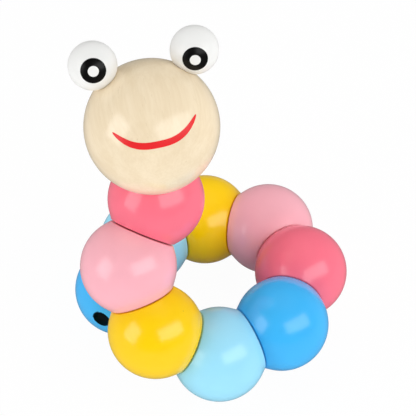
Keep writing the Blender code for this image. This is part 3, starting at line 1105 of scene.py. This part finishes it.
@dataclass
class Head:
    """The bare wood head with its smile."""

    chain: Chain
    balls: WedgeBalls
    finishes: Finishes
    radius: float = 19.0 * MM
    bore_radius: float = 2.8 * MM
    bore_depth: float = 15.0 * MM
    grain_lean: float = math.radians(42.0)
    outline_points: int = 240
    spin_steps: int = 144
    smile_half_thickness: float = 0.95 * MM
    smile_tip: float = 0.12 * MM
    smile_taper_power: int = 4
    smile_taper_fullness: float = 0.7
    smile_half_width: float = math.radians(37.0)
    smile_turn: float = math.radians(-4.3)
    smile_height: float = math.radians(4.2)
    smile_slope: float = math.radians(2.1)
    smile_bend: float = math.radians(18.1)
    smile_bend_power: int = 3
    smile_columns: int = 96
    smile_rows: int = 8
    paint_thickness: float = 0.06 * MM

    @cached_property
    def face_offset(self) -> float:
        """Distance from the head's centre to its neck contact."""
        face_radius_squared = self.balls.radius**2 - self.chain.face_offset**2
        return math.sqrt(self.radius**2 - face_radius_squared)

    @cached_property
    def centre(self) -> Vector:
        """The head's centre."""
        neck = self.chain.contacts[0]
        return neck.place - neck.normal * self.face_offset

    @cached_property
    def leftward(self) -> Vector:
        """Direction to the worm's left, from eye to eye."""
        return (box_middle("eye_dowel_left") - box_middle("eye_dowel_right")).normalized()

    @cached_property
    def upward(self) -> Vector:
        """Direction from the head's centre to the middle between the eyes.

        Returns:
            The unit direction, square to the leftward one.
        """
        between = (box_middle("eye_dowel_left") + box_middle("eye_dowel_right")) / 2.0
        up = between - self.centre
        return (up - self.leftward * up.dot(self.leftward)).normalized()

    @cached_property
    def ahead(self) -> Vector:
        """Direction that the face looks in."""
        return self.leftward.cross(self.upward)

    def build(self, dowels: list[EyeDowel]) -> None:
        """Turn and bore the head, and paint its smile.

        Args:
            dowels: the dowels that the eyes sit on.
        """
        flat = self.balls.flat_at(self.face_offset - self.balls.flat_gap / 2.0)
        ball = flatted_ball("head", self.radius, flat, self.outline_points, self.spin_steps)
        depth = 2.0 * (self.bore_depth + self.bore_radius)
        bore = bore_cutter("head_bore", self.balls.bore_sides, self.bore_radius, depth)
        bore.matrix_world = Matrix.Translation(Z_AXIS * (flat.height + self.bore_radius))
        cut_with(ball, bore)
        place = frame_along(self.centre, self.chain.contacts[0].normal)
        for dowel in dowels:
            dowel.bore(ball, place)
        shade(ball)
        ball.name = "wooden_head"
        grain = self.upward * math.cos(self.grain_lean) - self.ahead * math.sin(self.grain_lean)
        remember_place(ball, 0.0, place.to_3x3().inverted() @ grain)
        set_in_place(ball, place, self.finishes[Slot.NATURAL_WOOD])
        fit_to_frame(ball, "head", Slot.NATURAL_WOOD, "head_ball")
        self.build_smile()

    def smile_direction(self, across: float) -> Vector:
        """Direction from the head's centre to a point along the smile.

        Args:
            across: from -1 at the smile's right end to 1 at its left end.

        Returns:
            The unit direction.
        """
        turn = self.smile_turn + self.smile_half_width * across
        bend = self.smile_bend * abs(across) ** self.smile_bend_power
        tilt = self.smile_height + self.smile_slope * across + bend
        level = self.ahead * math.cos(tilt) + self.upward * math.sin(tilt)
        return level * math.cos(turn) + self.leftward * math.sin(turn)

    def smile_reach(self, across: float) -> float:
        """Half of the smile's thickness at a point along it, from -1 to 1."""
        taper = max(0.0, 1.0 - across**self.smile_taper_power) ** self.smile_taper_fullness
        return self.smile_tip + (self.smile_half_thickness - self.smile_tip) * taper

    def build_smile(self) -> None:
        """Lay a thin crescent of paint on the face, from a flat grid bent over the head."""
        deselect_all()
        bpy.ops.mesh.primitive_grid_add(
            x_subdivisions=self.smile_columns, y_subdivisions=self.smile_rows, size=2.0
        )
        smile = named_active("painted_smile")
        step = 1.0 / self.smile_columns
        surface = self.radius + self.paint_thickness
        for vertex in smile.data.vertices:
            across, down = vertex.co.x, vertex.co.y
            middle = self.smile_direction(across)
            along = self.smile_direction(across + step) - self.smile_direction(across - step)
            side = middle.cross(along.normalized())
            angle = self.smile_reach(across) * down / self.radius
            vertex.co = (middle * math.cos(angle) + side * math.sin(angle)) * surface
        thicken(smile, 2.0 * self.paint_thickness)
        enter_edit(smile)
        close_up(smile)
        remember_place(smile, 0.0)
        set_in_place(smile, Matrix.Translation(self.centre), self.finishes[Slot.RED])
        fit_to_frame(smile, "head", Slot.RED, "mouth")


@dataclass
class EyeDowel:
    """One dowel that holds an eye on the head, half in each of them."""

    side: Side
    head: Head
    radius: float = 1.5 * MM
    depth: float = 4.0 * MM
    chamfer: float = 0.35 * MM
    clearance: float = 0.3 * MM
    spin_steps: int = 32
    shift: float = 23.0

    @cached_property
    def node(self) -> str:
        """The frame's node that the dowel stands for."""
        return f"eye_dowel_{self.side.value}"

    @cached_property
    def outward(self) -> Vector:
        """Direction from the head's centre to the eye."""
        return (box_middle(self.node) - self.head.centre).normalized()

    @cached_property
    def place(self) -> Matrix:
        """Frame at the dowel's middle, on the head's surface, with Z outwards."""
        return frame_along(self.head.centre + self.outward * self.head.radius, self.outward)

    def bore(self, thing: bpy.types.Object, place: Matrix) -> None:
        """Bore a piece for the dowel.

        Args:
            thing: the piece, in its own frame.
            place: the piece's frame.
        """
        reach = self.radius + self.clearance
        depth = self.depth + self.clearance
        outline = [(0.0, -depth), (reach, -depth), (reach, depth), (0.0, depth)]
        hole = turned_profile("dowel_hole", outline, self.spin_steps)
        hole.matrix_world = place.inverted() @ self.place
        cut_with(thing, hole)

    def build(self) -> None:
        """Turn the dowel with its chamfered ends and set it in its holes."""
        end = self.radius - self.chamfer
        shank = self.depth - self.chamfer
        outline = [
            (0.0, -self.depth),
            (end, -self.depth),
            (self.radius, -shank),
            (self.radius, shank),
            (end, self.depth),
            (0.0, self.depth),
        ]
        dowel = turned_profile(f"wooden_dowel_{self.side.value}", outline, self.spin_steps)
        remember_place(dowel, self.shift)
        set_in_place(dowel, self.place, self.head.finishes[Slot.NATURAL_WOOD])
        fit_to_frame(dowel, "head", Slot.NATURAL_WOOD, self.node)


@dataclass(frozen=True)
class PaintedDisc:
    """A round patch of paint on an eye."""

    name: str
    node: str
    slot: Slot
    radius: float


@dataclass
class Eye:
    """One eye: a white ball on the crown, with a black pupil and the pupil's white dot."""

    dowel: EyeDowel
    head: Head
    frame: dict
    radius: float = 6.8 * MM
    seat_depth: float = 1.2 * MM
    seat_gap: float = 0.05 * MM
    paint_thickness: float = 0.05 * MM
    outline_points: int = 120
    spin_steps: int = 72
    shift: float = 11.0
    discs: tuple[PaintedDisc, ...] = (
        PaintedDisc("painted_pupil", "pupil", Slot.BLACK, 3.5 * MM),
        PaintedDisc("painted_dot", "pupil_dot", Slot.WHITE, 1.5 * MM),
    )

    @cached_property
    def centre(self) -> Vector:
        """The eye's centre."""
        return self.dowel.place @ (Z_AXIS * (self.radius - self.seat_depth))

    @cached_property
    def gaze(self) -> Vector:
        """Direction that the eye looks in."""
        middle = node_places(self.frame, f"pupil_{self.dowel.side.value}").mean(axis=0)
        return (Vector(middle.tolist()) - self.centre).normalized()

    def build(self) -> None:
        """Turn the eye, seat it on the head and paint its pupil and dot."""
        side = self.dowel.side.value
        place = frame_along(self.centre, self.gaze)
        finishes = self.head.finishes
        ball = turned_ball(f"eye_ball_{side}", self.radius, self.outline_points, self.spin_steps)
        seat_radius = self.head.radius + self.seat_gap
        seat = turned_ball("eye_seat", seat_radius, self.head.outline_points, self.head.spin_steps)
        seat.matrix_world = Matrix.Translation(place.inverted() @ self.head.centre)
        cut_with(ball, seat)
        self.dowel.bore(ball, place)
        shade(ball)
        remember_place(ball, self.shift)
        set_in_place(ball, place, finishes[Slot.WHITE])
        fit_to_frame(ball, "head", Slot.WHITE, f"eye_{side}")
        for layer, disc in enumerate(self.discs, start=1):
            patch = self.painted_patch(f"{disc.name}_{side}", disc.radius, layer)
            set_in_place(patch, place, finishes[disc.slot])
            fit_to_frame(patch, "head", disc.slot, f"{disc.node}_{side}")

    def painted_patch(self, name: str, reach: float, layer: int) -> bpy.types.Object:
        """Round patch of paint on the front of the eye.

        Args:
            name: the piece's name.
            reach: the patch's radius.
            layer: how many layers of paint its top lies above the eye.

        Returns:
            The patch, in the eye's frame.
        """
        surface = self.radius + self.paint_thickness * layer
        patch = turned_ball(name, surface, self.outline_points, self.spin_steps)
        enter_edit(patch)
        bisect(Z_AXIS * math.sqrt(surface**2 - reach**2), -Z_AXIS, fill=False)
        deselect_all()
        thicken(patch, 2.0 * self.paint_thickness)
        shade(patch)
        remember_place(patch, self.shift)
        return patch


@dataclass
class ElasticCord:
    """The elastic through the chain: a stretch in each ball, and a knot at each end."""

    chain: Chain
    balls: WedgeBalls
    tail: TailBall
    head: Head
    radius: float = 1.25 * MM
    knot_radius: float = 2.4 * MM
    wrap_radius: float = 0.95 * MM
    wraps: int = 2
    wrap_pitch: float = 1.7
    wrap_arc: float = 0.8 * math.pi
    wrap_steps: int = 8
    spin_steps: int = 32
    length_step: float = 1.0 * MM

    def stretch_outline(self, length: float, knotted: bool) -> Outline:
        """Outline of a stretch that runs up Z from the origin.

        Args:
            length: the length without a knot.
            knotted: whether it ends in a knot.

        Returns:
            (radius, height) points.
        """
        rows = max(2, round(length / self.length_step))
        outline = [(0.0, 0.0)]
        outline += [(self.radius, length * row / rows) for row in range(rows + 1)]
        if knotted:
            outline += self.knot_outline(length)
        top = outline[-1][1]
        return outline + [(0.0, top)]

    def knot_outline(self, start: float) -> Outline:
        """Outline of a knot's wraps.

        Args:
            start: the height at which the knot starts.

        Returns:
            (radius, height) points.
        """
        core = self.knot_radius - self.wrap_radius
        points = []
        for wrap in range(self.wraps):
            middle = start + self.wrap_radius * (1.0 + self.wrap_pitch * wrap)
            for step in range(self.wrap_steps + 1):
                angle = self.wrap_arc * (step / self.wrap_steps - 0.5)
                reach = core + self.wrap_radius * math.cos(angle)
                points.append((reach, middle + self.wrap_radius * math.sin(angle)))
        return points

    def add(self, name: str, outline: Outline, place: Matrix, index: int) -> bpy.types.Object:
        """Turn a stretch and set it in its place.

        Args:
            name: the piece's name.
            outline: the stretch's outline.
            place: its frame.
            index: its place in the chain.

        Returns:
            The stretch.
        """
        stretch = turned_profile(name, outline, self.spin_steps)
        remember_place(stretch, self.balls.plank_step * index)
        set_in_place(stretch, place, self.balls.finishes[Slot.ELASTIC])
        return stretch

    def fit(self, stretch: bpy.types.Object, index: int, flats: list[tuple[Vector, Vector]]) -> None:
        """Trim a stretch to the flats of its ball, and let it ride there.

        Args:
            stretch: the stretch, at its place.
            index: its place in the chain.
            flats: a point and the outward normal of each flat that trims it.
        """
        enter_edit(stretch)
        for point, normal in flats:
            bisect(point, normal, fill=True)
        close_up(stretch)
        fit_to_frame(stretch, ball_body(index), Slot.ELASTIC, cord_node(index))

    def build(self) -> None:
        """Make every stretch."""
        for index in range(1, self.chain.wedge_count + 1):
            self.build_in_wedge(index)
        self.build_tail_end()
        self.build_head_end()

    def build_in_wedge(self, index: int) -> None:
        """Make the stretch in a wedge ball.

        Args:
            index: the ball's place in the chain, from 1 at the head.
        """
        balls = self.balls
        run = 2.0 * self.chain.face_offset
        place = self.chain.ball_frame(index)
        line = place @ balls.bore_line @ Matrix.Translation(-Z_AXIS * run / 2.0)
        stretch = self.add(f"elastic_{index:02d}", self.stretch_outline(run, False), line, index)
        normals = (balls.tail_normal, balls.tail_normal.reflect(X_AXIS))
        flats = [(place @ (normal * balls.flat_height), place.to_3x3() @ normal) for normal in normals]
        self.fit(stretch, index, flats)

    def build_tail_end(self) -> None:
        """Make the stretch in the tail, with its knot in the hole."""
        tail = self.tail
        outline = self.stretch_outline(tail.ledge, True)
        stretch = self.add("elastic_tail", outline, tail.bore_line, tail.index)
        towards_head = -tail.contact.normal
        flat = tail.centre + towards_head * self.balls.flat_height
        self.fit(stretch, tail.index, [(flat, towards_head)])

    def build_head_end(self) -> None:
        """Make the stretch in the head, with its knot at the bore's end."""
        contact = self.chain.contacts[0]
        knot = 2.0 * self.knot_radius
        inwards = frame_along(contact.place - contact.normal * self.balls.flat_gap, -contact.normal)
        outline = self.stretch_outline(self.head.bore_depth - knot, True)
        stretch = self.add("elastic_head", outline, inwards, 0)
        fit_to_frame(stretch, "head", Slot.ELASTIC, "cord_head")


# Studio


@dataclass(frozen=True)
class Softbox:
    """A soft lamp, placed by its direction as the camera sees it, with angles in degrees."""

    name: str
    rightward: float
    upward: float
    distance: float
    width: float
    height: float
    power: float
    roll: float = 0.0
    mirrored: bool = True


def edge_softbox(name: str, rightward: float) -> Softbox:
    """Weak lamp beside the worm, which lights its edges and isn't mirrored."""
    return Softbox(name, rightward, 25.0, 0.80, width=0.60, height=0.50, power=1.0, mirrored=False)


@dataclass
class Studio:
    """Floor, lamps, sky and camera."""

    elevation: float = math.radians(46.27)
    aim: Vector = field(default_factory=lambda: Vector((-0.91 * MM, 45.69 * MM, 0.0)))
    distance: float = 570.7 * MM
    lens: float = 149.54
    sensor: float = 36.0
    lit_point: Vector = field(default_factory=lambda: Vector((0.0, 0.0, 45.0 * MM)))
    sky_strength: float = 0.36
    sky_swing: float = 0.20
    sky_mirrored: float = 0.06
    floor_width: float = 6.0
    floor_white: float = 0.88
    floor_roughness: float = 0.9
    floor_camera_share: float = 0.97
    floor_mirrored_share: float = 0.9
    floor_mirrored: float = 0.15
    floor_bounced_share: float = 0.6
    floor_bounced: float = 1.8
    coil_reach: float = 30.0 * MM
    open_floor_reach: float = 55.0 * MM
    fade_start: float = 120.0 * MM
    fade_end: float = 400.0 * MM
    faded_share: float = 0.3
    softboxes: tuple[Softbox, ...] = (
        Softbox("left_softbox", -56.0, -4.0, 0.80, width=0.46, height=0.56, power=2.6),
        Softbox("right_softbox", 38.0, 0.0, 0.80, width=0.95, height=0.42, power=4.1, roll=-12.0),
        Softbox("top_softbox", 8.0, 60.0, 1.20, width=1.20, height=1.00, power=3.2, mirrored=False),
        edge_softbox("left_edge", -105.0),
        edge_softbox("right_edge", 105.0),
    )

    @property
    def camera_turn(self) -> Matrix:
        """The camera's axes: right, up and backwards."""
        return Matrix.Rotation(math.pi / 2.0 - self.elevation, 3, "X")

    def build(self) -> None:
        """Set up the whole studio."""
        self.add_floor()
        for softbox in self.softboxes:
            self.add_softbox(softbox)
        self.add_sky()
        self.add_camera()
        bpy.context.scene.view_settings.view_transform = "Standard"

    def add_floor(self) -> None:
        """Lay a pale floor, which looks near white, keeps a soft shadow and lights the worm's lower edges."""
        deselect_all()
        bpy.ops.mesh.primitive_plane_add(size=self.floor_width)
        floor = named_active("studio_floor")
        material, sheet, shader = new_material("studio_floor")
        white = self.floor_white
        sockets = {
            "Base Color": (white, white, white, 1.0),
            "Roughness": self.floor_roughness,
            "Specular IOR Level": 0.0,
        }
        sheet.fill(shader, sockets)
        seen, bent = sheet.rays()
        strength = sheet.between(bent, 0.0, 1.0, 1.0, self.floor_mirrored)
        strength = sheet.between(seen["Is Diffuse Ray"], 0.0, 1.0, strength, self.floor_bounced)
        glow = sheet.add("ShaderNodeEmission", {"Strength": strength})
        place = sheet.add("ShaderNodeNewGeometry").outputs["Position"]
        reach = sheet.add("ShaderNodeVectorMath", {0: place}, operation="LENGTH").outputs["Value"]
        edges = (self.coil_reach, self.open_floor_reach)
        bounced_share = sheet.between(reach, *edges, 0.0, self.floor_bounced_share)
        fade = sheet.between(reach, self.fade_start, self.fade_end, 1.0, self.faded_share)
        direct = sheet.math("MULTIPLY", seen["Is Camera Ray"], self.floor_camera_share)
        mirrored = sheet.math("MULTIPLY", bent, self.floor_mirrored_share)
        bounced = sheet.math("MULTIPLY", seen["Is Diffuse Ray"], sheet.math("MULTIPLY", bounced_share, fade))
        share = sheet.math("MAXIMUM", direct, sheet.math("MAXIMUM", mirrored, bounced))
        mixer = sheet.add("ShaderNodeMixShader", {0: share, 1: shader.outputs[0], 2: glow.outputs[0]})
        sheet.fill(sheet.tree.nodes["Material Output"], {"Surface": mixer.outputs[0]})
        floor.data.materials.append(material)

    def add_softbox(self, softbox: Softbox) -> None:
        """Hang a softbox that faces the worm.

        Args:
            softbox: the softbox.
        """
        rightward = math.radians(softbox.rightward)
        upward = math.radians(softbox.upward)
        across = math.cos(upward)
        seen = Vector((math.sin(rightward) * across, math.sin(upward), math.cos(rightward) * across))
        direction = self.camera_turn @ seen
        deselect_all()
        bpy.ops.object.light_add(type="AREA", location=self.lit_point + direction * softbox.distance)
        lamp = bpy.context.object
        lamp.name = softbox.name
        lamp.data.shape = "RECTANGLE"
        lamp.data.size = softbox.width
        lamp.data.size_y = softbox.height
        lamp.data.energy = softbox.power
        lamp.visible_glossy = softbox.mirrored
        roll = Matrix.Rotation(math.radians(softbox.roll), 3, "Z")
        lamp.rotation_euler = (direction.to_track_quat("Z", "Y").to_matrix() @ roll).to_euler()

    def add_sky(self) -> None:
        """Make the surroundings white, brighter behind the worm and only faintly mirrored by the paint."""
        world = bpy.data.worlds.new("studio_sky")
        world.use_nodes = True
        sheet = NodeSheet(world.node_tree)
        seen, bent = sheet.rays()
        direction = sheet.add("ShaderNodeTexCoord").outputs["Generated"]
        behind = sheet.add("ShaderNodeSeparateXYZ", {"Vector": direction}).outputs["Y"]
        ends = (self.sky_strength - self.sky_swing, self.sky_strength + self.sky_swing)
        strength = sheet.between(bent, 0.0, 1.0, sheet.between(behind, -1.0, 1.0, *ends), self.sky_mirrored)
        strength = sheet.math("MAXIMUM", strength, seen["Is Camera Ray"])
        sheet.fill(sheet.tree.nodes["Background"], {"Color": (1.0, 1.0, 1.0, 1.0), "Strength": strength})
        bpy.context.scene.world = world

    def add_camera(self) -> None:
        """Place the camera at the photograph's angle."""
        deselect_all()
        backwards = self.camera_turn @ Z_AXIS
        turn = self.camera_turn.to_euler()
        bpy.ops.object.camera_add(location=self.aim + backwards * self.distance, rotation=turn)
        camera = bpy.context.object
        camera.name = "photo_camera"
        camera.data.sensor_width = self.sensor
        camera.data.lens = self.lens
        camera.data.clip_start = MM
        bpy.context.scene.camera = camera


def main() -> None:
    """Load the frame, dress the worm and set up the studio."""
    logging.basicConfig(level=logging.INFO, format="%(name)s: %(message)s")
    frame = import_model()
    chain = Chain(frame["joints"])
    finishes = Finishes()

    balls = WedgeBalls(chain, finishes)
    balls.build()
    tail = TailBall(chain, balls, frame)
    tail.build()
    head = Head(chain, balls, finishes)
    dowels = [EyeDowel(side, head) for side in Side]
    head.build(dowels)
    for dowel in dowels:
        dowel.build()
        Eye(dowel, head, frame).build()
    ElasticCord(chain, balls, tail, head).build()

    Studio().build()


if __name__ == "__main__":
    main()
